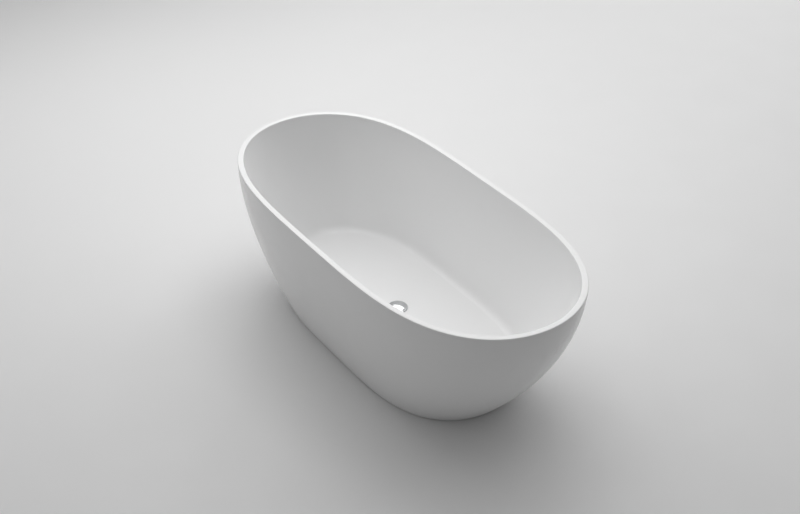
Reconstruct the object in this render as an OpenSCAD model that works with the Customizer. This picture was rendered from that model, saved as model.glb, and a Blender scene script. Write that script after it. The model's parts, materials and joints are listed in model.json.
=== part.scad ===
/* [Rim] */
// Length of the bath over the rim
tub_length = 1700; // [1400:10:2000]
// Width of the bath over the rim
tub_width = 816; // [700:2:1000]
// Height of the rim above the ground
tub_height = 570; // [480:5:700]
// Width of the flat top of the rim
rim_width = 22; // [20:1:34]
// Thickness of the rim where it is seen from the side
rim_thickness = 8; // [6:1:12]
// Squareness of the rim's oval, where 2 is an ellipse
rim_squareness = 3.7; // [2.4:0.1:4.5]

/* [Skirt] */
// Length of the outline that the skirt stands on
foot_length = 1170; // [960:10:1400]
// Width of the outline that the skirt stands on
foot_width = 592; // [500:5:720]
// Squareness of the outline that the skirt stands on
foot_squareness = 3.8; // [2.6:0.1:4.5]
// How strongly the ends of the skirt bulge, where 1 is straight
skirt_end_bulge = 1.8; // [1.4:0.1:2.4]
// How strongly the sides of the skirt bulge, where 1 is straight
skirt_side_bulge = 1.8; // [1.6:0.1:3.6]
// Thickness of the skirt
skirt_wall = 5; // [4:0.5:6]
// Gap between the skirt and the ground
skirt_gap = 2; // [1:0.5:4]
// Width of the flange turned in at the foot of the skirt
flange_width = 38; // [32:1:50]
// Thickness of that flange
flange_thickness = 6; // [5:1:8]

/* [Basin] */
// Length of the basin's flat floor
floor_length = 1200; // [960:10:1400]
// Width of the basin's flat floor
floor_width = 574; // [470:2:690]
// Height of the basin's flat floor above the ground
floor_height = 112; // [110:1:140]
// Squareness of the basin's floor
floor_squareness = 3.7; // [2.6:0.1:4.5]
// How strongly the basin's ends bulge, where 1 is straight
basin_end_bulge = 1.6; // [1.3:0.1:1.7]
// How strongly the basin's sides bulge, where 1 is straight
basin_side_bulge = 1.15; // [1.1:0.05:1.4]
// Thickness of the basin
basin_wall = 6; // [5:0.5:7]
// Size of the rounded crease between wall and floor
crease = 30; // [18:1:36]

/* [Frame] */
// Thickness of the board laminated under the basin
board_thickness = 16; // [12:1:18]
// Outer size of the square steel tube
tube_size = 25; // [22:1:26]
// Wall of the square steel tube
tube_wall = 2; // [1.5:0.5:3]
// Distance from the edge of the board to the middle of a rail
rail_inset = 100; // [80:5:120]
// Distance along the bath from a foot to the nearest cross member
foot_to_member = 60; // [50:5:90]
// Distance from the waste to the middle cross members
waste_to_member = 100; // [80:5:130]
// Thickness of the skirt brackets
bracket_thickness = 3; // [2:0.5:4]

/* [Levelling feet] */
// Diameter of a foot's pad
pad_d = 50; // [40:1:60]
// Diameter of a foot's threaded stem
stem_d = 10; // [8:1:12]
// Height of the nuts on a stem
nut_height = 8; // [6:0.5:9]

/* [Waste] */
// Outer diameter of the waste flange
flange_d = 80; // [74:1:90]
// Outer diameter of the flange's threaded tail
tail_d = 48; // [44:1:50]
// How far the plug's cap is smaller than the flange, all round
plug_reveal = 2; // [1:0.5:5]
// Height of the plug's dome at its middle
dome_height = 7; // [4:1:9]
// Diameter of the plug's stem
plug_stem_d = 7; // [6:0.5:8]
// Travel of the click plug from closed to open
plug_travel = 8; // [6:0.5:9]
// Outer diameter of the outlet pipe
outlet_d = 40; // [32:1:40]
// Distance from the waste to the pipe that goes down into the ground
outlet_reach = 200; // [180:5:320]

/* [Overflow] */
// Depth of the overflow's middle below the rim
overflow_drop = 110; // [100:5:150]
// Outer diameter of the overflow's cover
overflow_d = 60; // [54:1:66]
// How far the cover stands off the wall
overflow_height = 9; // [8:1:14]
// Outer diameter of the overflow pipe
overflow_pipe_d = 18; // [16:1:19]

/* [Hidden] */
$fn = 48;

// Facets: points round an oval, and steps from the bottom of a shell to its top
SIDES = 72;
STAGES = 10;
RIM_STEPS = 3;

// Clearances: round parts that turn, parts that slip together once, and open gaps
run_gap = 0.05;
slip_gap = 0.1;
free_gap = 1;
// How far a cut runs past the face that it opens
past = 1;

// Thicknesses and edges that several pieces share
edge_r = 3;
seal_thickness = 2;
pipe_wall = 2;

// The rim's half sizes, outside and inside
rim_a = tub_length / 2;
rim_b = tub_width / 2;
mouth_a = rim_a - rim_width;
mouth_b = rim_b - rim_width;
rim_under = tub_height - rim_thickness;

// The skirt's foot, and the flange turned in there
foot_a = foot_length / 2;
foot_b = foot_width / 2;
flange_a = foot_a - flange_width;
flange_b = foot_b - flange_width;
flange_top = skirt_gap + flange_thickness;

// Heights of what lies under the basin, from the top down
floor_under = floor_height - basin_wall;
board_under = floor_under - board_thickness;
member_under = board_under - tube_size;
rail_under = member_under - tube_size;

// The board stays on the flat part of the basin's underside
board_margin = 5;
board_a = floor_length / 2 - crease - board_margin;
board_b = floor_width / 2 - crease - board_margin;

// Screws: the frame's and the small ones, with heads wider than their shafts
screw_r = 3;
small_screw_r = 2.5;
head_step = 2.5;
head_height = 3.5;
screw_bite = 12;
tip_gap = 1;
screw_tip = 4;

// The frame is placed from the board and from the skirt's flange
pad_clearance = 10;
rail_y = board_b - rail_inset;
foot_x = oval_x(flange_a, flange_b, foot_squareness, rail_y + pad_d / 2) - pad_d / 2 - pad_clearance;
rail_half = foot_x + tube_size;
member_x = foot_x - foot_to_member;
cap_plate = 2;
cap_depth = 8;

// Brackets stand on the outer side of the end cross members, over the flange
bracket_reach = 26;
bracket_foot = 30;
bracket_overlap = 30;
bracket_clearance = 4;
bracket_height = board_under - flange_top - free_gap;
bracket_x = member_x + tube_size / 2;
member_end = oval_y(flange_a, flange_b, foot_squareness, bracket_x + bracket_foot) - bracket_clearance;
bracket_screw_y = member_end - 0.6 * bracket_overlap;
bracket_screw_z = member_under + tube_size / 2;
flange_screw_x = bracket_x + 0.6 * bracket_foot;
flange_screw_y = member_end + bracket_reach - 12;

MEMBER_XS = [-member_x, -waste_to_member, waste_to_member, member_x];
END_SIGNS = [[-1, -1], [-1, 1], [1, -1], [1, 1]];
board_screw_y = 70;
BOARD_SCREWS = [for (x = MEMBER_XS) for (s = [-1, 1]) [x, s * board_screw_y]];

// Each foot: where it stands, and the underside of the tube that it screws into
FEET = [
    for (s = END_SIGNS) [s[0] * foot_x, s[1] * rail_y, rail_under],
    [waste_to_member, 0, member_under]
];
stem_r = stem_d / 2;
pad_height = 8;
pad_chamfer = 2;
hub_height = 14;
hub_r = stem_r + 5;
socket_z = 5;
collar_z = hub_height + 2;
collar_height = 6;
nut_across = 1.7 * stem_d;
stem_below_top = 2;

// The waste flange, whose heights are counted from the basin's floor
flange_r = flange_d / 2;
tail_r = tail_d / 2;
tail_bore_r = tail_r - 4;
flange_stand = 1.5;
flange_top_z = floor_height + flange_stand;
flange_chamfer = 1.2;
flange_lip = 8;
seat_depth = 2.5;
seat_seal = 1.5;
seal_margin = 3;
bowl_depth = 1;
seat_drop = 5;
tail_length = 30;
spider_thickness = 4;
spider_width = 3;
spider_z = floor_height - tail_length;

// The waste body under the basin
collar_r = tail_r + 12;
collar_thickness = 4;
chamber_r = tail_r + 4;
chamber_wall = 3;
chamber_top = floor_under - seal_thickness - collar_thickness;
chamber_bottom = floor_height - tail_length - 12;
neck_depth = 6;
board_hole_r = collar_r + 8;

// The plug: a domed cap on a stem, whose foot rests on the spring in the guide
plug_r = flange_r - plug_reveal;
plug_stem_r = plug_stem_d / 2;
plug_wall = 2;
closed_gap = 0.5;
cap_under = flange_top_z + closed_gap;
cap_edge = 1.5;
cap_top = cap_under + cap_edge + dome_height;
cap_cover = 2;
boss_r = plug_stem_r + 4;
washer_r = boss_r + 6;
seal_z = floor_height - 4;
washer_height = 2;
plug_seal_height = 3;
plug_seal_r = tail_bore_r + 0.5;
guide_r = plug_stem_r + 3.5;
guide_cavity_r = plug_stem_r + 1.7;
guide_bottom = floor_height - 40;
guide_top = floor_height - 12;
guide_floor = guide_bottom + 2;
bush_length = 4;
stem_foot = guide_floor + plug_travel;
stem_collar_r = plug_stem_r + 1.2;
stem_collar = 1.5;
spring_wire_r = 0.5;
spring_turns = 5;
spring_steps = 10;
spring_gap = 0.1;

// The outlet turns level under the waste and goes down again near its end
outlet_r = outlet_d / 2;
bend_r = outlet_r + 3;
outlet_neck = 6;
neck_wall = 2;
socket_r = outlet_r + 2;
socket_length = 24;
shoulder = 3;
elbow_top = chamber_bottom - outlet_neck;
outlet_z = elbow_top - bend_r - 2;
outlet_end_z = 6;
spigot_top = outlet_z - bend_r;
outlet_nut_height = 6;
nut_drop = 2.5;
outlet_nut_r = outlet_r + 7;

// The overflow sits square on the sloping side wall, in a shallow seat on each face
seat_cut = 0.5;
overflow_z = tub_height - overflow_drop;
overflow_r = overflow_d / 2;
overflow_y = basin_b(overflow_z);
slope_step = 10;
slope_rise = basin_b(overflow_z + slope_step) - basin_b(overflow_z - slope_step);
overflow_slope = atan(slope_rise / (2 * slope_step));
overflow_bore_r = overflow_r - 9;
wall_depth = basin_wall * cos(overflow_slope);
body_r = overflow_r - 1;
// Straight room from the basin's face to the skirt, at this height above the overflow's middle
function overflow_room(rise) =
    (skirt_b(overflow_z + rise) - skirt_wall - overflow_y) * cos(overflow_slope) - rise * sin(overflow_slope);
// The skirt comes nearest to the upper edge of the body's back
back_rise = body_r * cos(overflow_slope) - overflow_room(0) * sin(overflow_slope);
cavity_gap = 1;
cavity = overflow_room(back_rise) - wall_depth;
overflow_depth = cavity - seal_thickness - cavity_gap;
overflow_front = -wall_depth + seat_cut - seal_thickness;
overflow_middle = overflow_front - overflow_depth / 2;
body_wall = 2;
cover_wall = 2;
cover_slot = 0.7;
post_r = 5;

// The overflow pipe runs straight down the cavity, then bends level towards the waste
pipe_r = overflow_pipe_d / 2;
pipe_nut_height = 8;
pipe_nut_r = pipe_r + 1.5;
pipe_bend_r = 26;
pipe_clearance = 2;
pipe_turns = 8;
pipe_sides = 16;
inlet_z = board_under - pipe_r - pipe_clearance;
inlet_length = 12;
spigot_length = overflow_r + 14;
pipe_start = [
    -overflow_y + overflow_middle * cos(overflow_slope) + spigot_length * sin(overflow_slope),
    overflow_z + overflow_middle * sin(overflow_slope) - spigot_length * cos(overflow_slope)
];
pipe_low_y = -(floor_width / 2 + basin_wall + pipe_r + pipe_clearance);
pipe_lean = atan((pipe_low_y - pipe_start[0]) / (pipe_start[1] - inlet_z));
bend_angle = 90 - pipe_lean;
bend_cut = pipe_bend_r * tan(bend_angle / 2);

// ---- Ovals ----

// An oval has round ends and flatter sides: (|x| / a) ^ n + (y / b) ^ 2 = 1.
// Half width of an oval at a given x, and half length at a given y
function oval_y(a, b, n, x) = b * sqrt(1 - pow(abs(x) / a, n));
function oval_x(a, b, n, y) = a * pow(1 - pow(y / b, 2), 1 / n);

// Points of one oval: a section is [half length, half width, squareness, height]
function oval(s) = [
    for (i = [0:SIDES - 1]) let (t = 360 * i / SIDES)
    [s[0] * cos(t), s[1] * sign(sin(t)) * sqrt(1 - pow(abs(cos(t)), s[2]))]
];

// A bulge that starts fast at 0 and eases to 1
function bulge(t, p) = 1 - pow(1 - t, p);
function mix(a, b, t) = a + (b - a) * t;

// ---- The two shells, as sections at a height ----

function skirt_t(z) = (z - skirt_gap) / (rim_under - skirt_gap);
function skirt_b(z) = mix(foot_b, rim_b, bulge(skirt_t(z), skirt_side_bulge));
function skirt_section(z, inset) = [
    mix(foot_a, rim_a, bulge(skirt_t(z), skirt_end_bulge)) - inset,
    skirt_b(z) - inset,
    mix(foot_squareness, rim_squareness, skirt_t(z)),
    z
];

function basin_t(z) = (z - floor_height) / (tub_height - edge_r - floor_height);
function basin_a(z) = mix(floor_length / 2, mouth_a, bulge(basin_t(z), basin_end_bulge));
function basin_b(z) = mix(floor_width / 2, mouth_b, bulge(basin_t(z), basin_side_bulge));
function basin_section(z, outset) = [
    basin_a(z) + outset,
    basin_b(z) + outset,
    mix(floor_squareness, rim_squareness, basin_t(z)),
    z
];

// The crease runs from the flat floor (u = 0) up to the wall (u = 1)
function crease_size(corner, wall, u) =
    (1 - u) * (1 - u) * (corner - crease) + 2 * u * (1 - u) * corner + u * u * wall;
function crease_section(u, outset) = let (top = basin_section(floor_height + crease, outset)) [
    crease_size(floor_length / 2 + outset / 2, top[0], u),
    crease_size(floor_width / 2 + outset / 2, top[1], u),
    mix(floor_squareness, top[2], u),
    mix(floor_height - outset, floor_height + crease, u * u)
];

// A closed body through oval sections, either a ring or one with flat ends
module loft(sections, ring) {
    rows = len(sections);
    points = [for (s = sections) for (p = oval(s)) [p[0], p[1], s[3]]];
    last = ring ? rows - 1 : rows - 2;
    sides = [
        for (k = [0:last]) for (i = [0:SIDES - 1])
        let (j = (i + 1) % SIDES, low = k * SIDES, high = ((k + 1) % rows) * SIDES)
        each [[low + i, high + i, high + j], [low + i, high + j, low + j]]
    ];
    caps = ring ? [] : [
        [for (i = [0:SIDES - 1]) i],
        [for (i = [SIDES - 1:-1:0]) (rows - 1) * SIDES + i]
    ];
    polyhedron(points, concat(sides, caps));
}

// ---- Small shapes that repeat ----

module tube(length, outer_r, inner_r) {
    difference() {
        cylinder(h = length, r = outer_r);
        translate([0, 0, -past]) cylinder(h = length + 2 * past, r = inner_r);
    }
}

module hex_nut(height, across, bore_r) {
    difference() {
        cylinder(h = height, d = across / cos(30), $fn = 6);
        translate([0, 0, -past]) cylinder(h = height + 2 * past, r = bore_r);
    }
}

// A hole along +Z through a plate of this thickness that stands on z = 0
module through_hole(thickness, r) {
    translate([0, 0, -past]) cylinder(h = thickness + 2 * past, r = r);
}

// A socket along -X whose shoulder joins it to a pipe of the same bore
module socket() {
    rotate([0, -90, 0]) {
        tube(shoulder, socket_r, outlet_r - pipe_wall);
        tube(shoulder + socket_length, socket_r, outlet_r);
    }
}

// A pipe bend of 90 degrees: from straight down at the origin to level along -X
module bend() {
    translate([-bend_r, 0, 0]) rotate([-90, 0, 0]) rotate_extrude(angle = 90) translate([bend_r, 0])
        difference() {
            circle(outlet_r);
            circle(outlet_r - pipe_wall);
        }
}

// A square tube along X, centred, standing on z = 0
module square_tube(length) {
    difference() {
        translate([-length / 2, -tube_size / 2, 0]) cube([length, tube_size, tube_size]);
        translate([-length / 2 - past, -tube_size / 2 + tube_wall, tube_wall])
            cube([length + 2 * past, tube_size - 2 * tube_wall, tube_size - 2 * tube_wall]);
    }
}

// Places a shape on the overflow's axis, with +Z into the basin
module on_overflow() {
    translate([0, -overflow_y, overflow_z]) rotate([overflow_slope - 90, 0, 0]) children();
}

// ---- Shells ----

// The rim's rounded edge, from its side (0) to its top: [distance in, distance down]
rim_arc = [
    for (k = [0:RIM_STEPS]) let (q = 90 * k / RIM_STEPS)
    [edge_r * (1 - cos(q)), edge_r * (1 - sin(q))]
];
basin_heights = [for (k = [0:STAGES]) mix(floor_height + crease, tub_height - edge_r, k / STAGES)];
under_heights = [for (k = [0:STAGES]) mix(floor_height + crease, rim_under, k / STAGES)];
crease_steps = [0, 0.3, 0.6, 0.85];
rim_section = [rim_a, rim_b, rim_squareness, rim_under];

module basin_shell() {
    loft(concat(
        [for (u = crease_steps) crease_section(u, basin_wall)],
        [for (z = under_heights) basin_section(z, basin_wall)],
        [rim_section],
        [for (p = rim_arc) [rim_a - p[0], rim_b - p[0], rim_squareness, tub_height - p[1]]],
        [for (k = [RIM_STEPS:-1:1]) let (p = rim_arc[k])
            [mouth_a + p[0], mouth_b + p[0], rim_squareness, tub_height - p[1]]],
        [for (k = [STAGES:-1:0]) basin_section(basin_heights[k], 0)],
        [for (k = [len(crease_steps) - 1:-1:0]) crease_section(crease_steps[k], 0)]
    ), false);
}

module inner_basin() {
    color("white") difference() {
        basin_shell();
        translate([0, 0, floor_height - seat_depth])
            cylinder(h = seat_depth + past, r = flange_r + free_gap, $fn = 96);
        translate([0, 0, floor_under]) through_hole(basin_wall, tail_r + free_gap);
        on_overflow() {
            translate([0, 0, -seat_cut]) cylinder(h = overflow_r, r = overflow_r + free_gap);
            translate([0, 0, seat_cut - wall_depth - overflow_r])
                cylinder(h = overflow_r, r = overflow_r + free_gap);
            translate([0, 0, -wall_depth]) through_hole(wall_depth, overflow_bore_r);
        }
    }
}

skirt_heights = [for (k = [0:STAGES]) mix(skirt_gap, rim_under, k / STAGES)];
skirt_inner_heights = [for (k = [STAGES:-1:0]) mix(flange_top, rim_under, k / STAGES)];

module outer_skirt() {
    color("white") difference() {
        loft(concat(
            [for (z = skirt_heights) skirt_section(z, 0)],
            [for (z = skirt_inner_heights) skirt_section(z, skirt_wall)],
            [[flange_a, flange_b, foot_squareness, flange_top]],
            [[flange_a, flange_b, foot_squareness, skirt_gap]]
        ), true);
        for (s = END_SIGNS) translate([s[0] * flange_screw_x, s[1] * flange_screw_y, skirt_gap])
            through_hole(flange_thickness, small_screw_r);
    }
}

// ---- Board and frame ----

module base_board() {
    color("burlywood") difference() {
        translate([0, 0, board_under]) linear_extrude(board_thickness)
            polygon(oval([board_a, board_b, floor_squareness, 0]));
        translate([0, 0, board_under]) through_hole(board_thickness, board_hole_r);
        for (p = BOARD_SCREWS) translate([p[0], p[1], board_under - past])
            cylinder(h = screw_bite + past, r = screw_r);
    }
}

module rail(side) {
    color("dimgray") difference() {
        translate([0, side * rail_y, rail_under]) square_tube(2 * rail_half);
        for (s = [-1, 1]) translate([s * foot_x, side * rail_y, rail_under])
            through_hole(tube_size, stem_r + free_gap);
    }
}

module cross_member(i) {
    x = MEMBER_XS[i];
    outer = abs(x) > waste_to_member;
    half = outer ? member_end : rail_y + tube_size;
    color("dimgray") difference() {
        translate([x, 0, member_under]) rotate([0, 0, 90]) square_tube(2 * half);
        for (s = [-1, 1]) translate([x, s * board_screw_y, member_under])
            through_hole(tube_size, screw_r + slip_gap);
        if (x == FEET[4][0]) translate([x, 0, member_under])
            through_hole(tube_size, stem_r + free_gap);
        if (outer) for (s = [-1, 1])
            translate([x, s * bracket_screw_y, bracket_screw_z]) rotate([0, sign(x) * 90, 0])
                cylinder(h = tube_size, r = small_screw_r);
    }
}

module skirt_bracket(s) {
    color("silver") mirror([s[0] < 0 ? 1 : 0, 0, 0]) mirror([0, s[1] < 0 ? 1 : 0, 0]) difference() {
        union() {
            translate([bracket_x, member_end - bracket_overlap, flange_top])
                cube([bracket_thickness, bracket_overlap + bracket_reach, bracket_height]);
            translate([bracket_x, member_end, flange_top])
                cube([bracket_foot, bracket_reach, bracket_thickness]);
        }
        translate([bracket_x, bracket_screw_y, bracket_screw_z]) rotate([0, 90, 0])
            through_hole(bracket_thickness, small_screw_r + slip_gap);
        translate([flange_screw_x, flange_screw_y, flange_top])
            through_hole(bracket_thickness, small_screw_r + slip_gap);
    }
}

// A screw that points along +Z with its head below the origin
module screw(length, shaft_r) {
    translate([0, 0, -head_height]) cylinder(h = head_height, r = shaft_r + head_step);
    cylinder(h = length, r = shaft_r);
}

module board_screws() {
    color("silver") for (p = BOARD_SCREWS) translate([p[0], p[1], member_under])
        screw(tube_size + screw_bite - tip_gap, screw_r);
}

module bracket_screws() {
    color("silver") for (s = END_SIGNS) {
        translate([s[0] * (bracket_x + bracket_thickness), s[1] * bracket_screw_y, bracket_screw_z])
            rotate([0, -90 * s[0], 0]) screw(bracket_thickness + tube_wall + screw_tip, small_screw_r);
        translate([s[0] * flange_screw_x, s[1] * flange_screw_y, flange_top + bracket_thickness])
            rotate([180, 0, 0]) screw(bracket_thickness + flange_thickness - tip_gap, small_screw_r);
    }
}

module rail_end_caps() {
    inner = tube_size - 2 * tube_wall;
    color("black") for (s = END_SIGNS)
        translate([s[0] * rail_half, s[1] * rail_y, rail_under + tube_size / 2])
        mirror([s[0] < 0 ? 1 : 0, 0, 0]) {
            translate([0, -tube_size / 2, -tube_size / 2]) cube([cap_plate, tube_size, tube_size]);
            translate([-cap_depth, -inner / 2, -inner / 2]) cube([cap_depth, inner, inner]);
        }
}

// ---- Levelling feet ----

module at_foot(i) {
    translate([FEET[i][0], FEET[i][1], 0]) children();
}

module foot_pad(i) {
    color("black") at_foot(i) difference() {
        union() {
            cylinder(h = pad_height - pad_chamfer, r = pad_d / 2);
            translate([0, 0, pad_height - pad_chamfer])
                cylinder(h = pad_chamfer, r1 = pad_d / 2, r2 = pad_d / 2 - pad_chamfer);
            cylinder(h = hub_height, r = hub_r);
        }
        translate([0, 0, socket_z]) cylinder(h = hub_height, r = stem_r + run_gap);
    }
}

module foot_stem(i) {
    stem_top = FEET[i][2] + tube_size - stem_below_top;
    color("silver") at_foot(i) {
        translate([0, 0, socket_z]) cylinder(h = stem_top - socket_z, r = stem_r);
        translate([0, 0, collar_z]) cylinder(h = collar_height, d = nut_across / cos(30), $fn = 6);
    }
}

module foot_nut(i) {
    color("silver") at_foot(i) translate([0, 0, FEET[i][2] - nut_height])
        hex_nut(nut_height, nut_across, stem_r + run_gap);
}

module lock_nut(i) {
    color("silver") at_foot(i) translate([0, 0, FEET[i][2] - 2 * nut_height])
        hex_nut(nut_height, nut_across, stem_r + run_gap);
}

// ---- Waste ----

module waste_upper_seal() {
    color("black") translate([0, 0, floor_height - seat_depth])
        tube(seat_seal, flange_r - seal_margin, tail_r + free_gap);
}

module waste_flange() {
    lip_z = floor_height - seat_depth + seat_seal;
    top = flange_top_z;
    color("silver") {
        rotate_extrude($fn = 96) polygon([
            [flange_r - flange_lip, top], [flange_r - flange_chamfer, top],
            [flange_r, top - flange_chamfer], [flange_r, lip_z],
            [tail_r, lip_z], [tail_r, spider_z],
            [tail_bore_r, spider_z], [tail_bore_r, floor_height - seat_drop],
            [tail_r + 1, top - bowl_depth]
        ]);
        difference() {
            union() {
                for (q = [0, 90]) rotate([0, 0, q])
                    translate([-tail_bore_r - 1, -spider_width / 2, spider_z])
                    cube([2 * tail_bore_r + 2, spider_width, spider_thickness]);
                translate([0, 0, spider_z]) cylinder(h = spider_thickness, r = guide_r + spider_width);
            }
            translate([0, 0, spider_z]) through_hole(spider_thickness, guide_r);
        }
    }
}

module waste_lower_seal() {
    color("black") translate([0, 0, floor_under - seal_thickness])
        tube(seal_thickness, collar_r, tail_r + free_gap);
}

module waste_body() {
    neck_z = chamber_top - neck_depth;
    color("white") difference() {
        union() {
            translate([0, 0, chamber_top]) cylinder(h = collar_thickness, r = collar_r);
            translate([0, 0, chamber_bottom]) cylinder(h = chamber_top - chamber_bottom, r = chamber_r);
            translate([0, 0, elbow_top]) cylinder(h = outlet_neck, r = outlet_r + neck_wall);
            translate([0, 0, inlet_z]) rotate([90, 0, 0])
                cylinder(h = chamber_r + inlet_length, r = pipe_r + neck_wall);
        }
        translate([0, 0, neck_z - past])
            cylinder(h = neck_depth + collar_thickness + 2 * past, r = tail_r + slip_gap);
        translate([0, 0, chamber_bottom + chamber_wall])
            cylinder(h = neck_z - chamber_bottom - chamber_wall, r = chamber_r - chamber_wall);
        translate([0, 0, elbow_top]) through_hole(outlet_neck + chamber_wall, outlet_r - pipe_wall);
        translate([0, 0, inlet_z]) rotate([90, 0, 0]) translate([0, 0, tail_r + 1])
            cylinder(h = chamber_r, r = pipe_r - pipe_wall);
        translate([0, -chamber_r, inlet_z]) rotate([90, 0, 0])
            cylinder(h = inlet_length + past, r = pipe_r + slip_gap);
    }
}

// ---- Plug ----

module plug_cap() {
    dome_r = (plug_r * plug_r + dome_height * dome_height) / (2 * dome_height);
    reach = asin(plug_r / dome_r);
    steps = 8;
    // The dome's outline at step k, shrunk towards its axis and lowered for the hollow side
    function dome(k, shrink, drop) = let (q = reach * k / steps)
        [shrink * dome_r * sin(q), cap_top - drop - dome_r * (1 - cos(q))];
    crown = [for (k = [0:steps]) dome(k, 1, 0)];
    hollow = [for (k = [steps:-1:0]) dome(k, (plug_r - plug_wall) / plug_r, cap_edge)];
    color("silver") {
        rotate_extrude($fn = 96)
            polygon(concat(crown, [[plug_r, cap_under], [plug_r - plug_wall, cap_under]], hollow));
        translate([0, 0, seal_z]) tube(cap_top - cap_cover / 2 - seal_z, boss_r, plug_stem_r);
        translate([0, 0, seal_z - washer_height]) tube(washer_height, washer_r, plug_stem_r);
    }
}

module plug_seal() {
    color("black") translate([0, 0, seal_z]) tube(plug_seal_height, plug_seal_r, boss_r);
}

module plug_stem() {
    color("silver") {
        translate([0, 0, stem_foot]) cylinder(h = cap_top - cap_cover - stem_foot, r = plug_stem_r);
        translate([0, 0, stem_foot]) cylinder(h = stem_collar, r = stem_collar_r);
    }
}

module plug_guide() {
    cavity_top = guide_top - bush_length;
    color("white") difference() {
        translate([0, 0, guide_bottom]) cylinder(h = guide_top - guide_bottom, r = guide_r);
        translate([0, 0, guide_floor]) cylinder(h = cavity_top - guide_floor, r = guide_cavity_r);
        translate([0, 0, guide_floor])
            cylinder(h = guide_top - guide_floor + past, r = plug_stem_r + run_gap);
    }
}

// A coil swept by rings of six points
module click_spring() {
    rings = spring_turns * spring_steps;
    start = guide_floor + spring_wire_r + spring_gap;
    rise = stem_foot - guide_floor - 2 * (spring_wire_r + spring_gap);
    points = [
        for (k = [0:rings]) let (q = 360 * k / spring_steps, z = start + rise * k / rings)
        for (w = [0:60:300]) let (r = plug_stem_r + spring_wire_r * cos(w))
        [r * cos(q), r * sin(q), z + spring_wire_r * sin(w)]
    ];
    sides = [
        for (k = [0:rings - 1]) for (w = [0:5])
        let (v = (w + 1) % 6, low = 6 * k, high = 6 * k + 6)
        each [[low + w, low + v, high + v], [low + w, high + v, high + w]]
    ];
    ends = [[for (w = [5:-1:0]) w], [for (w = [0:5]) 6 * rings + w]];
    color("silver") polyhedron(points, concat(sides, ends));
}

// ---- Outlet ----

module outlet_nut() {
    color("white") translate([0, 0, elbow_top - nut_drop])
        hex_nut(outlet_nut_height, 2 * outlet_nut_r, outlet_r + neck_wall);
}

module waste_elbow() {
    color("white") {
        translate([0, 0, outlet_z + bend_r])
            tube(elbow_top - outlet_z - bend_r, outlet_r, outlet_r - pipe_wall);
        translate([0, 0, outlet_z + bend_r]) bend();
        translate([-bend_r, 0, outlet_z]) socket();
    }
}

module outlet_pipe() {
    color("white") translate([-bend_r - shoulder, 0, outlet_z]) rotate([0, -90, 0])
        tube(outlet_reach - 2 * (bend_r + shoulder), outlet_r, outlet_r - pipe_wall);
}

module floor_elbow() {
    color("white") translate([-outlet_reach, 0, 0]) {
        mirror([1, 0, 0]) {
            translate([-bend_r, 0, outlet_z]) socket();
            translate([0, 0, spigot_top]) mirror([0, 0, 1]) bend();
        }
        translate([0, 0, outlet_end_z]) tube(spigot_top - outlet_end_z, outlet_r, outlet_r - pipe_wall);
    }
}

// ---- Overflow ----

module overflow_cover() {
    color("silver") on_overflow() difference() {
        translate([0, 0, -seat_cut]) cylinder(h = overflow_height + seat_cut, r = overflow_r, $fn = 96);
        translate([0, 0, -past])
            cylinder(h = overflow_height + past - cover_wall, r = overflow_r - cover_wall, $fn = 96);
        translate([-overflow_r * cover_slot, 1, 1])
            cube([2 * overflow_r * cover_slot, overflow_r, overflow_height - cover_wall - 1]);
        through_hole(overflow_height, small_screw_r + slip_gap);
    }
}

module overflow_screw() {
    color("silver") on_overflow() translate([0, 0, overflow_height]) rotate([180, 0, 0])
        screw(overflow_height + wall_depth + screw_bite - tip_gap, small_screw_r);
}

module overflow_seal() {
    color("black") on_overflow() translate([0, 0, overflow_front])
        tube(seal_thickness, body_r, overflow_bore_r);
}

module overflow_body() {
    back = overflow_front - overflow_depth;
    color("white") on_overflow() difference() {
        union() {
            translate([0, 0, back]) cylinder(h = overflow_depth, r = body_r);
            translate([0, 0, overflow_middle]) rotate([-90, 0, 0]) cylinder(h = spigot_length, r = pipe_r);
        }
        difference() {
            translate([0, 0, back + body_wall]) cylinder(h = overflow_depth, r = overflow_bore_r);
            translate([0, 0, back]) cylinder(h = overflow_depth, r = post_r);
        }
        translate([0, 0, -wall_depth - screw_bite]) cylinder(h = screw_bite + wall_depth, r = small_screw_r);
        translate([0, 0, overflow_middle]) rotate([-90, 0, 0]) translate([0, 0, overflow_bore_r - pipe_wall])
            cylinder(h = spigot_length, r = pipe_r - pipe_wall);
    }
}

// The pipe's route in the plane across the bath: straight, round the bend, straight
PIPE_ROUTE = concat(
    [[pipe_start[0] + free_gap * sin(pipe_lean), pipe_start[1] - free_gap * cos(pipe_lean), pipe_lean]],
    [for (k = [0:pipe_turns]) let (q = pipe_lean + bend_angle * k / pipe_turns) [
        pipe_low_y + bend_cut - pipe_bend_r * cos(q),
        inlet_z + pipe_bend_r - pipe_bend_r * sin(q),
        q
    ]],
    [[-chamber_r, inlet_z, 90]]
);

function pipe_ring(stop, r) = [
    for (w = [0:pipe_sides - 1]) let (q = 360 * w / pipe_sides)
    [r * cos(q), stop[0] + r * sin(q) * cos(stop[2]), stop[1] + r * sin(q) * sin(stop[2])]
];

module overflow_pipe() {
    stops = len(PIPE_ROUTE);
    rings = concat(
        [for (stop = PIPE_ROUTE) pipe_ring(stop, pipe_r)],
        [for (k = [stops - 1:-1:0]) pipe_ring(PIPE_ROUTE[k], pipe_r - pipe_wall)]
    );
    faces = [
        for (k = [0:2 * stops - 1]) for (w = [0:pipe_sides - 1])
        let (v = (w + 1) % pipe_sides, low = pipe_sides * k, high = pipe_sides * ((k + 1) % (2 * stops)))
        each [[low + w, low + v, high + v], [low + w, high + v, high + w]]
    ];
    color("white") polyhedron([for (ring = rings) each ring], faces);
}

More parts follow.
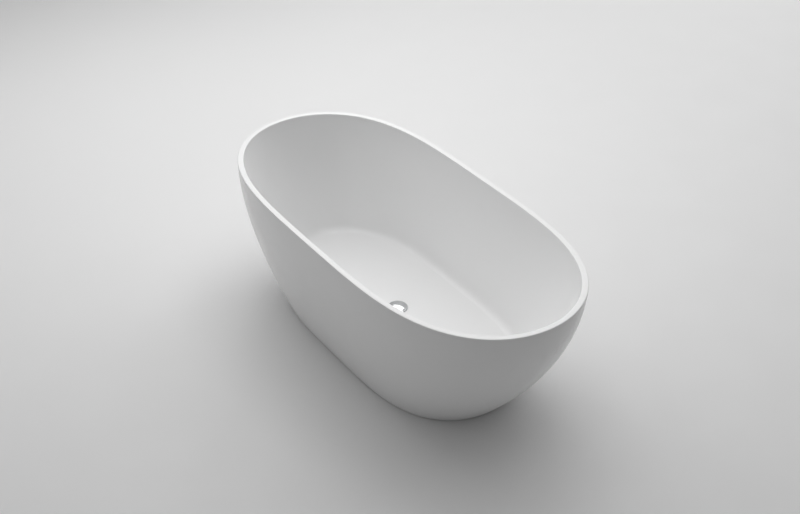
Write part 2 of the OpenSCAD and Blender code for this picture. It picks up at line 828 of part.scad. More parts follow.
module overflow_upper_nut() {
    color("white") translate([0, pipe_start[0], pipe_start[1]]) rotate([180 + overflow_slope, 0, 0])
        translate([0, 0, -pipe_nut_height]) hex_nut(pipe_nut_height, 2 * pipe_nut_r, pipe_r);
}

module overflow_lower_nut() {
    color("white") translate([0, -chamber_r - inlet_length, inlet_z]) rotate([90, 0, 0])
        hex_nut(pipe_nut_height, 2 * pipe_nut_r, pipe_r);
}

// ---- Assembly ----

inner_basin();
outer_skirt();
base_board();
rail(1);  // rail_left
rail(-1);  // rail_right
for (i = [1:4]) {
    cross_member(i - 1);
    skirt_bracket(END_SIGNS[i - 1]);
}
board_screws();
bracket_screws();
rail_end_caps();
for (i = [1:5]) {
    foot_pad(i - 1);
    foot_stem(i - 1);
    foot_nut(i - 1);
    lock_nut(i - 1);
}
waste_flange();
waste_upper_seal();
waste_lower_seal();
waste_body();
plug_cap();
plug_seal();
plug_stem();
plug_guide();
click_spring();
outlet_nut();
waste_elbow();
outlet_pipe();
floor_elbow();
overflow_cover();
overflow_screw();
overflow_seal();
overflow_body();
overflow_upper_nut();
overflow_pipe();
overflow_lower_nut();
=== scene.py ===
# %% [markdown]
# # A freestanding oval bathtub
#
# The bath is two thin acrylic shells: an inner basin with a flat rim, and an outer skirt that bulges out
# from a smaller oval foot. A steel frame, screw feet, a click waste and an overflow sit between them.
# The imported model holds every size, so this lesson starts by loading it and measuring what it needs.

# %% Load the frame
import json
import math

import bpy
import numpy as np
from mathutils import Matrix, Vector


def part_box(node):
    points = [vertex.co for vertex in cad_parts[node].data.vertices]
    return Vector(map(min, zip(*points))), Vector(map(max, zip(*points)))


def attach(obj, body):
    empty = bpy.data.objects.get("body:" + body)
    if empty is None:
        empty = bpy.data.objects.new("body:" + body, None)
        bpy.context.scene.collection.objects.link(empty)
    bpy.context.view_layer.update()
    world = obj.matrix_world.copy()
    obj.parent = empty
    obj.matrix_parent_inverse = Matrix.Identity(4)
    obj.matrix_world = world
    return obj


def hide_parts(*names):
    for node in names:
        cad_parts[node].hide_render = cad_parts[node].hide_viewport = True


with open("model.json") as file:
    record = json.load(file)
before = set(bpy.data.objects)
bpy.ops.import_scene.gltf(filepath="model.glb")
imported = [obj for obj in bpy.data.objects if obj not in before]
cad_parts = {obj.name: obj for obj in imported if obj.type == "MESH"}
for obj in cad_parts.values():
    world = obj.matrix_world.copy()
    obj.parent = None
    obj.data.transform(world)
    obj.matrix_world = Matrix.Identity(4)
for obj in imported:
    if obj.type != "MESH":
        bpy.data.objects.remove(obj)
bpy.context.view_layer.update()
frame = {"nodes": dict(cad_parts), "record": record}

# %% [markdown]
# ## Camera
#
# The bath is seen from above one end and one side, with a lens a little longer than normal. A camera
# could be turned by hand until the view looks right, but a place, a point to look at and a small roll
# say the same in numbers that anyone can check. The camera looks at a point within 4 mm of the bath's
# upright axis. The numbers come from a fit of the camera and the ovals together.

# %% Camera
LENS_MM = 52.1
SENSOR_MM = 36.0
CAMERA_PLACE = Vector((2.903, -2.167, 2.903))
LOOK_AT = Vector((0.002, 0.003, 0.354))
ROLL = math.radians(1.62)


def make_camera():
    """The view axis runs from CAMERA_PLACE to LOOK_AT, and the camera is then rolled about that axis."""
    lens = bpy.data.cameras.new("camera")
    lens.lens = LENS_MM
    lens.sensor_width = SENSOR_MM
    camera = bpy.data.objects.new("camera", lens)
    bpy.context.scene.collection.objects.link(camera)
    level = (LOOK_AT - CAMERA_PLACE).to_track_quat("-Z", "Y").to_matrix().to_4x4()
    camera.matrix_world = Matrix.Translation(CAMERA_PLACE) @ level @ Matrix.Rotation(ROLL, 4, "Z")
    bpy.context.scene.camera = camera


make_camera()
print("camera is", round((CAMERA_PLACE - LOOK_AT).length, 3), "m from the point it looks at")

# %% [markdown]
# ## Sizes read from the CAD nodes
#
# A shell that replaces a CAD node has to lie on it. The smooth shells follow the same formula as the CAD
# ones. The outer sizes are read from the nodes' own meshes. The walls, bulges and roundings can't be
# read from a mesh so simply, so they are given again below with the part's own values.

# %% Read the sizes
def node_points(node):
    """The node's vertices as one array of rows x, y, z."""
    mesh = frame["nodes"][node].data
    flat = np.empty(3 * len(mesh.vertices), np.float32)
    mesh.vertices.foreach_get("co", flat)
    return flat.reshape(-1, 3).astype(float)


def half_sizes(node, low, high):
    """Half length and half width of the part of a node that lies between two heights."""
    points = node_points(node)
    ring = points[(points[:, 2] >= low) & (points[:, 2] <= high)]
    return np.abs(ring[:, 0]).max(), np.abs(ring[:, 1]).max()


MM = 0.001
basin_low, basin_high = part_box("inner_basin")
skirt_low, skirt_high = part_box("outer_skirt")
rim_top = basin_high.z
rim_under = skirt_high.z
rim_size = np.array([basin_high.x, basin_high.y])
foot_z = skirt_low.z
foot_size = np.array(half_sizes("outer_skirt", foot_z - MM, foot_z + MM))
basin_under = basin_low.z
print("rim", rim_size, "foot", foot_size, "joint height", rim_under)

# %% [markdown]
# ## The oval
#
# Every level of the bath is the same kind of oval: round at its two ends and flatter along its sides.
# The formula is (|x| / a) ^ n + (y / b) ^ 2 = 1. A plain ellipse would be n = 2; this bath has n near 3.7.
# A surface is then a stack of such ovals, one row of the grid for each, so a whole shell is one array.

# %% Ovals and surfaces
AROUND = 288
turn = np.linspace(0.0, 2.0 * np.pi, AROUND, endpoint=False)


def oval_rows(half_lengths, half_widths, squareness, heights):
    """Rows of points: x = a cos t, y = b sign(sin t) sqrt(1 - |cos t| ^ n), z = the row's height."""
    a, b, n, z = (np.asarray(v, float)[:, None] for v in (half_lengths, half_widths, squareness, heights))
    across = np.sign(np.sin(turn)) * np.sqrt(np.clip(1.0 - np.abs(np.cos(turn)) ** n, 0.0, None))
    return np.stack([a * np.cos(turn), b * across, z + 0.0 * turn], axis=2)


def bulge(t, power):
    """1 - (1 - t) ^ p: starts fast at 0 and eases to 1."""
    return 1.0 - (1.0 - np.clip(t, 0.0, 1.0)) ** power


def mix(start, end, t):
    """start + (end - start) * t: start at 0, end at 1."""
    return start + (end - start) * t


def grid_faces(rows, columns, close_rows):
    """Quads between neighbouring rows and columns; columns wrap round, and rows wrap too for a ring."""
    last = rows if close_rows else rows - 1
    row, column = np.meshgrid(np.arange(last), np.arange(columns), indexing="ij")
    up = (row + 1) % rows
    beside = (column + 1) % columns
    corners = [row * columns + column, row * columns + beside, up * columns + beside, up * columns + column]
    return np.stack(corners, axis=2).reshape(-1, 4)


def add_piece(name, points, faces, smooth_angle=40.0):
    """Puts arrays into a new mesh object at the origin, with smooth shading below the given angle."""
    mesh = bpy.data.meshes.new(name)
    mesh.from_pydata(np.asarray(points).reshape(-1, 3), [], faces.tolist())
    mesh.update()
    mesh.shade_smooth()
    mesh.set_sharp_from_angle(angle=math.radians(smooth_angle))
    piece = bpy.data.objects.new(name, mesh)
    bpy.context.scene.collection.objects.link(piece)
    return piece


def arc(centre, radius, start_deg, end_deg, steps):
    """Points on an arc in the profile plane: (across, up)."""
    angle = np.radians(np.linspace(start_deg, end_deg, steps + 1))
    return np.stack([centre[0] + radius * np.cos(angle), centre[1] + radius * np.sin(angle)], axis=1)


# %% [markdown]
# ## Outer skirt
#
# On the real bath the skirt is one sheet of acrylic, drawn over a mould and trimmed, with its foot
# turned in as a flange. A lathe or a lofted curve could make it, but neither keeps the oval formula at
# every height. Here each row's half length and half width bulge out from the foot's to the rim's. The
# rows go up the outside, back down the inside and round the flange, so the shell is closed and has its
# real thickness.

# %% Skirt
RIM_SQUARENESS = 3.7
FOOT_SQUARENESS = 3.8
SKIRT_BULGE = 1.8
SKIRT_WALL = 5 * MM
FLANGE_WIDTH = 38 * MM
FLANGE_THICKNESS = 6 * MM
FOOT_ROUNDING = 2 * MM
JOINT_GAP = 0.05 * MM


def skirt_rows(heights, inset):
    """Rows of the skirt at these heights, moved in by inset."""
    t = (heights - foot_z) / (rim_under - foot_z)
    size = mix(foot_size[:, None], rim_size[:, None], bulge(t, SKIRT_BULGE)[None, :])
    return size[0] - inset, size[1] - inset, mix(FOOT_SQUARENESS, RIM_SQUARENESS, t), heights


def make_skirt():
    """Rows up the outside, down the inside one wall's thickness in, and round the flange."""
    top = rim_under - JOINT_GAP
    rounded = arc((0.0, foot_z + FOOT_ROUNDING), FOOT_ROUNDING, -90, 0, 5)
    outside = np.linspace(foot_z + 2 * FOOT_ROUNDING, top, 48)
    inside = np.linspace(top, foot_z + FLANGE_THICKNESS + MM, 24)
    flange = foot_size - FLANGE_WIDTH
    flange_up = foot_z + FLANGE_THICKNESS
    turned_in = oval_rows([flange[0]] * 2, [flange[1]] * 2, [FOOT_SQUARENESS] * 2, [flange_up, foot_z])
    rows = np.concatenate([
        oval_rows(*skirt_rows(rounded[:, 1], FOOT_ROUNDING - rounded[:, 0])),
        oval_rows(*skirt_rows(outside, 0.0)),
        oval_rows(*skirt_rows(inside, SKIRT_WALL)),
        turned_in,
    ])
    return add_piece("skirt_shell", rows, grid_faces(len(rows), AROUND, close_rows=True))


skirt = make_skirt()
print("skirt:", len(skirt.data.polygons), "faces")

# %% [markdown]
# ## Inner basin
#
# The basin and its rim are one moulding: a flat rim with softly rounded edges, walls that slope in, a
# rounded crease and a flat floor with a round seat for the waste. The same stack of ovals makes the
# walls. On the floor the oval rows turn gradually into circles, so that the seat and the hole are truly
# round with no cut. The underside follows at the moulding's thickness and closes the surface through the
# hole.

# %% Basin
RIM_WIDTH = 22 * MM
RIM_EDGE = 3 * MM
FLOOR_SIZE = np.array([1200 * MM, 574 * MM]) / 2
FLOOR_SQUARENESS = 3.7
END_BULGE = 1.6
SIDE_BULGE = 1.15
BASIN_WALL = 6 * MM
CREASE = 30 * MM
SEAT_DEPTH = 2.5 * MM
SEAT_GAP = 1 * MM
WASTE_HOLE_R = 25 * MM
floor_z = basin_under + BASIN_WALL
mouth_size = rim_size - RIM_WIDTH
seat_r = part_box("waste_flange")[1].x + SEAT_GAP


def wall_rows(heights, outset):
    """Rows of the sloping wall: the floor's size bulges out to the mouth's, the sides less than the ends."""
    t = (heights - floor_z) / (rim_top - RIM_EDGE - floor_z)
    length = mix(FLOOR_SIZE[0], mouth_size[0], bulge(t, END_BULGE)) + outset
    width = mix(FLOOR_SIZE[1], mouth_size[1], bulge(t, SIDE_BULGE)) + outset
    return oval_rows(length, width, mix(FLOOR_SQUARENESS, RIM_SQUARENESS, np.clip(t, 0, 1)), heights)


def floor_oval(size):
    """One oval row at the floor's height, of this half length and half width."""
    return oval_rows([size[0]], [size[1]], [FLOOR_SQUARENESS], [floor_z])[0]


def crease_rows(u, outset):
    """(1 - u)^2 flat + 2u(1 - u) corner + u^2 wall: rows from the floor (u = 0) up to the wall (u = 1)."""
    wall = wall_rows(np.array([floor_z + CREASE]), outset)[0]
    corner = floor_oval(FLOOR_SIZE + outset / 2)
    flat = floor_oval(FLOOR_SIZE + outset / 2 - CREASE)
    u = u[:, None, None]
    rows = (1 - u) ** 2 * flat + 2 * u * (1 - u) * corner + u ** 2 * wall
    rows[:, :, 2] = mix(floor_z - outset, floor_z + CREASE, u[:, :, 0] ** 2)
    return rows


def floor_rows(start, end_r, steps, height):
    """Rows from an oval row in to a circle: each point moves straight to its place on the circle."""
    circle = np.stack([end_r * np.cos(turn), end_r * np.sin(turn), 0 * turn + height], axis=1)
    s = (np.arange(1, steps + 1) / steps)[:, None, None]
    return mix(start[None], circle[None], s)


def circle_rows(radii, heights):
    """Rows that are circles: an oval with n = 2 and both half sizes alike."""
    return oval_rows(radii, radii, [2.0] * len(radii), heights)


def rim_rows():
    """Rows round the rim, from under its outer edge over its flat top to its inner edge."""
    outer = arc((-RIM_EDGE, rim_top - RIM_EDGE), RIM_EDGE, 0, 90, 6)
    inner = arc((RIM_EDGE, rim_top - RIM_EDGE), RIM_EDGE, 90, 180, 6)[:-1]
    flat = np.linspace(0.2, 0.8, 4)[:, None]
    edge = [np.array([[0.0, rim_under]]), outer]
    rows = []
    for size, points in ((rim_size, np.concatenate(edge)), (mouth_size, inner)):
        rows.append(oval_rows(size[0] + points[:, 0], size[1] + points[:, 0],
                              np.full(len(points), RIM_SQUARENESS), points[:, 1]))
    top = mix(rows[0][-1][None], rows[1][0][None], flat[:, :, None])
    return np.concatenate([rows[0], top, rows[1]])


def make_basin():
    """Rows out along the underside, up the outside, over the rim, down the inside and in over the floor."""
    under = wall_rows(np.linspace(floor_z + CREASE, rim_under, 20), BASIN_WALL)
    under_crease = crease_rows(np.linspace(0.0, 0.9, 9), BASIN_WALL)
    inside = wall_rows(np.linspace(rim_top - RIM_EDGE, floor_z + CREASE, 44), 0.0)
    crease = crease_rows(np.linspace(0.94, 0.0, 16), 0.0)
    floor = floor_rows(crease[-1], seat_r, 12, floor_z)
    seat = circle_rows([seat_r, WASTE_HOLE_R, WASTE_HOLE_R],
                       [floor_z - SEAT_DEPTH, floor_z - SEAT_DEPTH, basin_under])
    underside = floor_rows(under_crease[0], WASTE_HOLE_R, 12, basin_under)[-2::-1]
    rows = np.concatenate([underside, under_crease, under, rim_rows(), inside, crease, floor, seat])
    return add_piece("basin_shell", rows, grid_faces(len(rows), AROUND, close_rows=True))


basin = make_basin()
print("basin:", len(basin.data.polygons), "faces")

# %% [markdown]
# ## Overflow hole
#
# The overflow is a round hole square to the sloping wall, under its cover. A boolean cut is the plain way to
# drill one hole through a curved shell. The axis is read from the overflow screw, which lies along it.

# %% Drill the overflow hole
OVERFLOW_HOLE_R = 21 * MM
DRILL_LOW = -30 * MM
DRILL_HIGH = 20 * MM


def axis_of(node, towards):
    """Middle and unit direction of a long round node: its points spread most along its own axis."""
    points = node_points(node)
    middle = points.mean(0)
    direction = np.linalg.svd(points - middle, full_matrices=False)[2][0]
    direction *= np.sign(direction @ np.asarray(towards, float))
    along = (points - middle) @ direction
    return Vector(middle + direction * (along.max() + along.min()) / 2), Vector(direction)


def place_on_axis(origin, direction):
    """Matrix that takes local +Z to the direction and local +Y as far down as it will go."""
    z = direction.normalized()
    x = Vector((0, 0, -1)).cross(z).normalized()
    y = z.cross(x)
    turned = Matrix((x, y, z)).transposed().to_4x4()
    return Matrix.Translation(origin) @ turned


def spin_profile(name, profile, columns, matrix=None, smooth_angle=40.0):
    """A closed outline (radius, height) carried round the z axis: x = r cos q, y = r sin q, z = h."""
    profile = np.asarray(profile, float)
    q = np.linspace(0.0, 2.0 * np.pi, columns, endpoint=False)
    radius = profile[:, 0][:, None]
    height = profile[:, 1][:, None] + 0.0 * q
    points = np.stack([radius * np.cos(q), radius * np.sin(q), height], axis=2)
    piece = add_piece(name, points, grid_faces(len(profile), columns, close_rows=True), smooth_angle)
    if matrix is not None:
        piece.data.transform(matrix)
    return piece


def cut(piece, cutter):
    """Boolean difference, applied, after which the cutter is thrown away."""
    modifier = piece.modifiers.new("cut", "BOOLEAN")
    modifier.object = cutter
    modifier.operation = "DIFFERENCE"
    modifier.solver = "EXACT"
    bpy.context.view_layer.update()
    evaluated = piece.evaluated_get(bpy.context.evaluated_depsgraph_get())
    mesh = bpy.data.meshes.new_from_object(evaluated)
    piece.modifiers.clear()
    old = piece.data
    piece.data = mesh
    mesh.name = old.name
    bpy.data.meshes.remove(old)
    bpy.data.objects.remove(cutter)
    return piece


def rod(name, radius, low, high, matrix):
    """A plain closed cylinder, used only to cut with."""
    columns = 64
    q = np.linspace(0.0, 2.0 * np.pi, columns, endpoint=False)
    ring = np.stack([radius * np.cos(q), radius * np.sin(q), 0.0 * q], axis=1)
    points = np.concatenate([ring + (0, 0, low), ring + (0, 0, high)])
    faces = grid_faces(2, columns, close_rows=False).tolist()
    faces.append(list(range(columns))[::-1])
    faces.append(list(range(columns, 2 * columns)))
    mesh = bpy.data.meshes.new(name)
    mesh.from_pydata(points, [], faces)
    mesh.transform(matrix)
    piece = bpy.data.objects.new(name, mesh)
    bpy.context.scene.collection.objects.link(piece)
    return piece


screw_middle, overflow_direction = axis_of("overflow_screw", (0, 1, 0))
cover_low, cover_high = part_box("overflow_cover")
overflow_r = (cover_high.x - cover_low.x) / 2
screw_points = node_points("overflow_screw")
screw_front = max((Vector(p) - screw_middle).dot(overflow_direction) for p in screw_points)
HEAD_HEIGHT = 3.5 * MM
COVER_HEIGHT = 9 * MM
overflow_origin = screw_middle + overflow_direction * (screw_front - HEAD_HEIGHT - COVER_HEIGHT)
overflow_place = place_on_axis(overflow_origin, overflow_direction)
cut(basin, rod("overflow_drill", OVERFLOW_HOLE_R, DRILL_LOW, DRILL_HIGH, overflow_place))
print("overflow at", tuple(round(v, 4) for v in overflow_origin))

# %% [markdown]
# ## Plug cap
#
# A click plug has a shallow polished dome that hides the waste. Its look is all in its outline: a dome
# with one even curve, a small rounded edge and a hollow underside. The outline is carried once round the
# upright axis. It stops POLE_R short of that axis, so a hairline hole is left through the middle of the
# dome.

# %% Plug cap
DOME_HEIGHT = 7 * MM
CAP_WALL = 2 * MM
CAP_LIP = 1.5 * MM
CAP_EDGE_R = 0.7 * MM
CAP_EDGE_DROP = 0.3 * MM
CAP_EDGE_START_DEG = 50
STEM_R = 3.5 * MM
BOSS_R = 7.5 * MM
WASHER_R = 13.5 * MM
WASHER_HEIGHT = 2 * MM
POLE_R = 0.01 * MM
HOLLOW_EDGE_DEG = 1.2
HOLLOW_HUB_DEG = 4.2
ROUND_COLUMNS = 128
METAL_SHARP_DEG = 35.0
cap_low, cap_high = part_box("plug_cap")


def make_plug_cap():
    """A circle arc over the top, a rounded edge, and a hollow with a hub and washer below, spun about z."""
    top = cap_high.z
    cap_r = cap_high.x
    edge = top - DOME_HEIGHT
    rim_bottom = edge - CAP_LIP
    dome_r = (cap_r ** 2 + DOME_HEIGHT ** 2) / (2 * DOME_HEIGHT)
    reach = math.degrees(math.asin((cap_r - CAP_EDGE_R) / dome_r))
    crown = arc((0.0, top - dome_r), dome_r, 90, 90 - reach, 28)
    crown[0, 0] = POLE_R
    rounded = arc((cap_r - CAP_EDGE_R, edge - CAP_EDGE_DROP), CAP_EDGE_R, CAP_EDGE_START_DEG, 0, 4)
    foot = arc((cap_r - CAP_EDGE_R / 2, rim_bottom + CAP_EDGE_R / 2), CAP_EDGE_R / 2, 0, -90, 3)
    hollow_middle = (0.0, top - CAP_WALL - dome_r)
    hollow = arc(hollow_middle, dome_r, 90 - reach + HOLLOW_EDGE_DEG, 90 - HOLLOW_HUB_DEG, 12)
    washer_top = cap_low.z + WASHER_HEIGHT
    hub = [
        (BOSS_R, hollow[-1, 1]),
        (BOSS_R, washer_top),
        (WASHER_R, washer_top),
        (WASHER_R, cap_low.z),
        (STEM_R, cap_low.z),
        (STEM_R, top - CAP_WALL),
        (POLE_R, top - CAP_WALL),
    ]
    inner_foot = [(hollow[0, 0], rim_bottom)]
    profile = np.concatenate([crown, rounded, foot, inner_foot, hollow, hub])
    return spin_profile("plug_dome", profile[::-1], ROUND_COLUMNS, smooth_angle=METAL_SHARP_DEG)


plug_dome = make_plug_cap()
print("plug cap:", len(plug_dome.data.polygons), "faces")

# %% [markdown]
# ## Overflow cover
#
# The cover is a small polished cup on the wall, open along its lower side so that water can get in
# behind it. It is the same kind of turned outline as the plug, set square to the wall, with one slot cut
# from its side.

# %% Overflow cover
COVER_WALL = 2 * MM
COVER_EDGE_R = 1.6 * MM
COVER_SINK = 0.5 * MM
SCREW_CLEAR_R = 2.6 * MM
SLOT_HALF = 0.62 * overflow_r
SLOT_LENGTH = 1.2 * overflow_r
SLOT_START = 0.3 * overflow_r
SLOT_LOW = 1.0 * MM
SLOT_CLEAR = 1.5 * MM


def make_overflow_cover():
    """A cup's outline spun about the overflow's axis, with a box cut out of its lower side."""
    outer_edge = arc((overflow_r - COVER_EDGE_R, COVER_HEIGHT - COVER_EDGE_R), COVER_EDGE_R, 0, 90, 6)
    radius = np.linspace(overflow_r - COVER_EDGE_R, SCREW_CLEAR_R, 12)[1:]
    crown = np.stack([radius, COVER_HEIGHT - 0.0 * radius], axis=1)
    inner_r = overflow_r - COVER_WALL
    inner_top = COVER_HEIGHT - COVER_WALL
    inner = [
        (SCREW_CLEAR_R, inner_top),
        (inner_r, inner_top),
        (inner_r, -COVER_SINK),
        (overflow_r, -COVER_SINK),
    ]
    profile = np.concatenate([outer_edge, crown, inner])
    cover = spin_profile("overflow_cap", profile, ROUND_COLUMNS, overflow_place, METAL_SHARP_DEG)
    slot = np.array([[x, y, z] for x in (-1, 1) for y in (0, 1) for z in (0, 1)], float)
    slot *= (SLOT_HALF, SLOT_LENGTH, inner_top - SLOT_CLEAR)
    slot += (0.0, SLOT_START, SLOT_LOW)
    faces = [(0, 1, 3, 2), (4, 6, 7, 5), (0, 4, 5, 1), (2, 3, 7, 6), (0, 2, 6, 4), (1, 5, 7, 3)]
    mesh = bpy.data.meshes.new("slot")
    mesh.from_pydata(slot, [], faces)
    mesh.transform(overflow_place)
    cutter = bpy.data.objects.new("slot", mesh)
    bpy.context.scene.collection.objects.link(cutter)
    return cut(cover, cutter)


overflow_cap = make_overflow_cover()
print("overflow cover:", len(overflow_cap.data.polygons), "faces")

# %% [markdown]
# ## Finishes
#
# Every finish starts from the same shader, Principled BSDF. What makes it look like a real one is how
# little each value moves: gloss acrylic is even in colour but never perfectly even in roughness, chromed
# brass keeps faint wipe marks, and zinc plating shows pale crystals. Patterns read Object
# coordinates, in metres, so a scale of 400 means bumps about 2.5 mm apart. The helpers below each add
# one step of such a pattern.

# %% Helpers for finishes
class Finish:
    """A material under construction: its nodes, its links and its shader."""

    def __init__(self, name, colour, roughness, metallic=0.0):
        self.material = bpy.data.materials.new(name)
        self.material.use_nodes = True
        self.nodes = self.material.node_tree.nodes
        self.links = self.material.node_tree.links
        self.shader = self.nodes["Principled BSDF"]
        self.shader.inputs["Base Color"].default_value = (*colour, 1.0)
        self.shader.inputs["Roughness"].default_value = roughness
        self.shader.inputs["Metallic"].default_value = metallic
        self.place = self.nodes.new("ShaderNodeTexCoord").outputs["Object"]

    def set(self, socket, value):
        """Gives one of the shader's sockets a plain value."""
        self.shader.inputs[socket].default_value = value

    def stretched(self, scale):
        """Object coordinates scaled differently along each axis, for patterns with a direction."""
        mapping = self.nodes.new("ShaderNodeMapping")
        mapping.inputs["Scale"].default_value = scale
        self.links.new(self.place, mapping.inputs["Vector"])
        return mapping.outputs["Vector"]

    def clouds(self, scale, detail=2.0, place=None, roughness=0.5):
        """Soft noise with about this many bumps to the metre."""
        noise = self.nodes.new("ShaderNodeTexNoise")
        noise.inputs["Scale"].default_value = scale
        noise.inputs["Detail"].default_value = detail
        noise.inputs["Roughness"].default_value = roughness
        self.links.new(place or self.place, noise.inputs["Vector"])
        return noise.outputs["Fac"]

    def cells(self, scale, output="Color", place=None):
        """Voronoi cells: a random value for each cell, or the distance to its middle."""
        voronoi = self.nodes.new("ShaderNodeTexVoronoi")
        voronoi.inputs["Scale"].default_value = scale
        self.links.new(place or self.place, voronoi.inputs["Vector"])
        return voronoi.outputs[output]

    def spread(self, pattern, low, high, start=0.35, end=0.65):
        """Stretches the middle of a pattern over the range low to high."""
        ranged = self.nodes.new("ShaderNodeMapRange")
        ranged.inputs["From Min"].default_value = start
        ranged.inputs["From Max"].default_value = end
        ranged.inputs["To Min"].default_value = low
        ranged.inputs["To Max"].default_value = high
        self.links.new(pattern, ranged.inputs["Value"])
        return ranged.outputs["Result"]

    def tint(self, pattern, first, second):
        """Mixes two colours by a pattern and paints the base colour with them."""
        ramp = self.nodes.new("ShaderNodeValToRGB")
        ramp.color_ramp.elements[0].color = (*first, 1.0)
        ramp.color_ramp.elements[1].color = (*second, 1.0)
        self.links.new(pattern, ramp.inputs["Fac"])
        self.links.new(ramp.outputs["Color"], self.shader.inputs["Base Color"])

    def rough(self, pattern, low, high):
        """Makes the roughness follow a pattern between two values."""
        self.links.new(self.spread(pattern, low, high), self.shader.inputs["Roughness"])

    def bumps(self, *heights):
        """Adds the patterns' heights, each given as (pattern, height in metres)."""
        normal = None
        for pattern, height in heights:
            bump = self.nodes.new("ShaderNodeBump")
            bump.inputs["Distance"].default_value = height
            self.links.new(pattern, bump.inputs["Height"])
            if normal:
                self.links.new(normal, bump.inputs["Normal"])
            normal = bump.outputs["Normal"]
        self.links.new(normal, self.shader.inputs["Normal"])


# %% [markdown]
# ### Satin-gloss white acrylic
#
# Sheet acrylic is white all through with a clear, slightly soft gloss. The colour drifts by less than
# one part in a hundred over a third of a metre, the roughness drifts a little more, and the surface
# keeps a very slight waviness from forming that only shows where a reflection crosses it.

# %% White acrylic
def bath_white():
    """White acrylic: one faint drift of colour, one of roughness, a waviness and a fine grain."""
    f = Finish("satin_white_acrylic", (0.87, 0.87, 0.87), 0.25)
    f.set("IOR", 1.49)
    f.tint(f.clouds(3.0), (0.866, 0.868, 0.870), (0.874, 0.874, 0.872))
    f.rough(f.clouds(9.0), 0.23, 0.27)
    f.bumps((f.clouds(6.0, 1.0), 0.0004), (f.clouds(1500.0, 1.0), 0.000004))
    return f.material


# %% [markdown]
# ### Polished chrome
#
# Chrome is a mirror with a cool tint. Here it is a little dulled, as on a fitting in use, so its
# reflections are soft. Fine wiping leaves streaks in the roughness, and dried water leaves faint marks in
# the tone.

# %% Chrome
def chrome():
    """A cool mirror with wipe streaks in its roughness."""
    f = Finish("polished_chrome", (0.70, 0.71, 0.72), 0.16, 1.0)
    f.tint(f.clouds(60.0), (0.68, 0.69, 0.70), (0.72, 0.73, 0.74))
    f.rough(f.clouds(1.0, 2.0, f.stretched((90.0, 700.0, 90.0))), 0.12, 0.20)
    f.bumps((f.clouds(120.0), 0.00004))
    return f.material


# %% [markdown]
# ### What is hidden under the bath
#
# The frame is powder coated, which has a fine orange peel. The screws are zinc plated, with pale crystals.
# The board is pressed wood flakes, the pads and caps are moulded plastic, and the seals are rubber.
# None of them shows from above, but each is what a fitter sees with the bath on its side.

# %% Frame, board and small parts
def frame_paint():
    """Black paint with an orange peel."""
    f = Finish("black_powder_coat", (0.03, 0.03, 0.032), 0.5)
    f.tint(f.clouds(40.0), (0.026, 0.026, 0.028), (0.036, 0.036, 0.038))
    f.rough(f.clouds(200.0), 0.42, 0.56)
    f.bumps((f.clouds(900.0), 0.00012))
    return f.material


def zinc():
    """A pale metal whose cells differ a little in tone."""
    f = Finish("zinc_plating", (0.60, 0.61, 0.63), 0.35, 1.0)
    f.tint(f.cells(350.0), (0.52, 0.53, 0.56), (0.68, 0.69, 0.70))
    f.rough(f.clouds(260.0), 0.28, 0.44)
    f.bumps((f.clouds(700.0), 0.00003))
    return f.material


def board():
    """Brown cells, flattened along z, for the pressed flakes."""
    f = Finish("pressed_board", (0.52, 0.38, 0.22), 0.8)
    flakes = f.stretched((1.0, 1.0, 3.0))
    f.tint(f.cells(260.0, place=flakes), (0.36, 0.23, 0.11), (0.66, 0.50, 0.31))
    f.rough(f.clouds(120.0), 0.7, 0.9)
    f.bumps((f.cells(260.0, "Distance", flakes), 0.0003), (f.clouds(900.0), 0.0001))
    return f.material


def rubber():
    """Nearly black and dull."""
    f = Finish("black_rubber", (0.02, 0.02, 0.02), 0.7)
    f.tint(f.clouds(80.0), (0.016, 0.016, 0.016), (0.028, 0.028, 0.028))
    f.rough(f.clouds(300.0), 0.6, 0.8)
    f.bumps((f.clouds(1200.0), 0.00005))
    return f.material


def moulded_plastic(name, dark, light):
    """Even plastic between two close tones."""
    f = Finish(name, light, 0.45)
    f.tint(f.clouds(50.0), dark, light)
    f.rough(f.clouds(240.0), 0.38, 0.52)
    f.bumps((f.clouds(1600.0), 0.00003))
    return f.material


finishes = {
    "bath_white": bath_white(),
    "chrome": chrome(),
    "frame_paint": frame_paint(),
    "zinc": zinc(),
    "board": board(),
    "rubber": rubber(),
    "black_plastic": moulded_plastic("black_plastic", (0.022, 0.022, 0.024), (0.032, 0.032, 0.034)),
    "white_plastic": moulded_plastic("white_plastic", (0.70, 0.70, 0.69), (0.76, 0.76, 0.75)),
}
print(len(finishes), "finishes")

# %% [markdown]
# ## Putting the finishes on
#
# Each CAD node says in the record which finish it has, so one loop dresses them all. The new shells take the
# finish of the node that they stand for, ride on its body and hide it.

# %% Dress every piece
def dress(piece, slot):
    """Gives a piece one finish, in place of any that it has."""
    piece.data.materials.clear()
    piece.data.materials.append(finishes[slot])


slots = {part["node"]: part["material_slot"] for part in frame["record"]["subparts"]}
for node, slot in slots.items():
    dress(frame["nodes"][node], slot)

new_pieces = [
    (skirt, "outer_skirt", "tub"),
    (basin, "inner_basin", "tub"),
    (plug_dome, "plug_cap", "plug"),
    (overflow_cap, "overflow_cover", "tub"),
]
for piece, node, body in new_pieces:
    dress(piece, slots[node])
    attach(piece, body)
    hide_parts(node)
print("dressed", len(slots), "nodes and", len(new_pieces), "new pieces")

# %% [markdown]
# ## Floor
#
# The bath stands on a plain pale floor that runs out of sight. One flat square is enough for it, made
# much larger than the view. It is matt, with a very slight drift of tone.

# %% Floor
FLOOR_HALF = 40.0


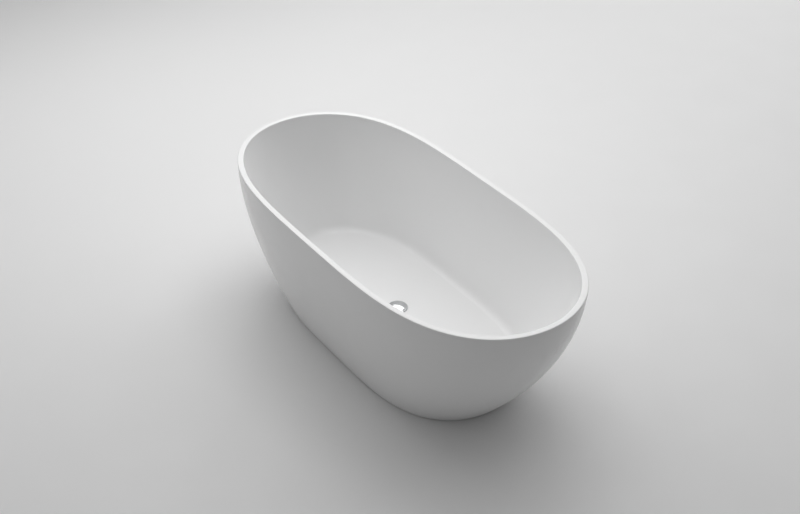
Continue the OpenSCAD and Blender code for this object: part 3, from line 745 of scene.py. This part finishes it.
def make_floor():
    """A flat square of the plane z = 0."""
    corners = np.array([[-1, -1, 0], [1, -1, 0], [1, 1, 0], [-1, 1, 0]], float) * FLOOR_HALF
    floor = add_piece("floor", corners, np.array([[0, 1, 2, 3]]))
    f = Finish("pale_floor", (0.78, 0.78, 0.78), 0.6)
    f.tint(f.clouds(0.8), (0.774, 0.774, 0.776), (0.786, 0.786, 0.784))
    f.rough(f.clouds(5.0), 0.55, 0.65)
    floor.data.materials.append(f.material)


make_floor()
print("floor is", 2 * FLOOR_HALF, "m square")

# %% [markdown]
# ## Light
#
# White gloss shows its shape only through shade, so the light is what draws this bath. One lamp would
# leave a hard shadow. Here three wide soft boxes stand in an arc low behind the bath, so the rim and the
# floor are bright and the near side falls into shade. Three smaller ones closer by carry the light over
# the rim into the basin, and one to the left keeps that side open. Each is given by its direction and
# distance from the bath's middle. Directions, distances and sizes were chosen one by one. The powers come
# from a least-squares balance of the lamps that was worked out outside this file, and were then rounded
# to 5 W.

# %% Lights
BATH_MIDDLE = Vector((0.0, 0.0, 0.3))
ROOM_LIGHT = 0.2

# name: direction round the bath and above the floor in degrees, distance and size in metres, power in watts
soft_boxes = {
    "behind_right": (95, 28, 6.0, 5.0, 55),
    "behind_middle": (130, 28, 6.0, 5.0, 90),
    "behind_left": (165, 28, 6.0, 5.0, 15),
    "side_left": (-126, 35, 6.0, 5.0, 30),
    "overhead": (0, 89, 3.0, 2.5, 20),
    "high_behind": (143, 60, 3.6, 2.5, 30),
    "near_behind_left": (185, 40, 3.6, 2.5, 25),
}


def soft_box(name, around_deg, above_deg, distance, size, watts):
    """A square lamp at this direction and distance from the bath's middle, and turned to face it."""
    lamp = bpy.data.lights.new(name, "AREA")
    lamp.shape = "SQUARE"
    lamp.size = size
    lamp.energy = watts
    light = bpy.data.objects.new(name, lamp)
    bpy.context.scene.collection.objects.link(light)
    around = math.radians(around_deg)
    above = math.radians(above_deg)
    out = Vector((math.cos(above) * math.cos(around), math.cos(above) * math.sin(around), math.sin(above)))
    facing = (-out).to_track_quat("-Z", "Y").to_matrix().to_4x4()
    light.matrix_world = Matrix.Translation(BATH_MIDDLE + out * distance) @ facing


def room(brightness):
    """An even white room, which fills the deepest shade a little."""
    world = bpy.data.worlds.new("room")
    world.use_nodes = True
    background = world.node_tree.nodes["Background"]
    background.inputs["Color"].default_value = (1.0, 1.0, 1.0, 1.0)
    background.inputs["Strength"].default_value = brightness
    bpy.context.scene.world = world


for name, settings in soft_boxes.items():
    soft_box(name, *settings)
room(ROOM_LIGHT)
bpy.context.scene.view_settings.view_transform = "Standard"
print(len(soft_boxes), "soft boxes")
